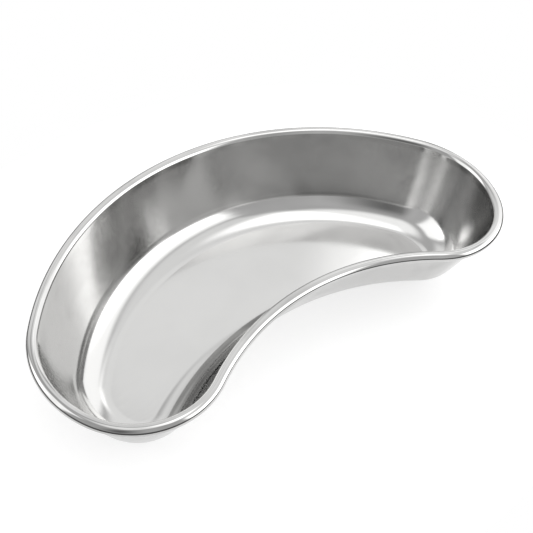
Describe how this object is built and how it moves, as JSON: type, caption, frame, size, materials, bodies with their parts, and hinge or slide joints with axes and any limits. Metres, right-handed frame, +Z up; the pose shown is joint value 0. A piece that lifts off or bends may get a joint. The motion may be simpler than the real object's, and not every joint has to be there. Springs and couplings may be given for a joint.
{
  "type": "kidney dish",
  "caption": "Kidney-shaped polished steel dish with a flat floor, drafted walls and a rolled rim over a stiffening wire.",
  "frame": {"origin": "on the table, under the middle of the dish's bounding box", "axes": "+X along the dish's length, +Y towards the convex back, +Z up out of the bowl"},
  "size_m": [0.25, 0.1354, 0.0445],
  "materials": {
    "polished_steel": "mirror-polished stainless steel",
    "wire_steel": "drawn stainless wire"
  },
  "bodies": {
    "root": {"pan": "polished_steel", "rim_wire": "wire_steel"}
  },
  "joints": []
}
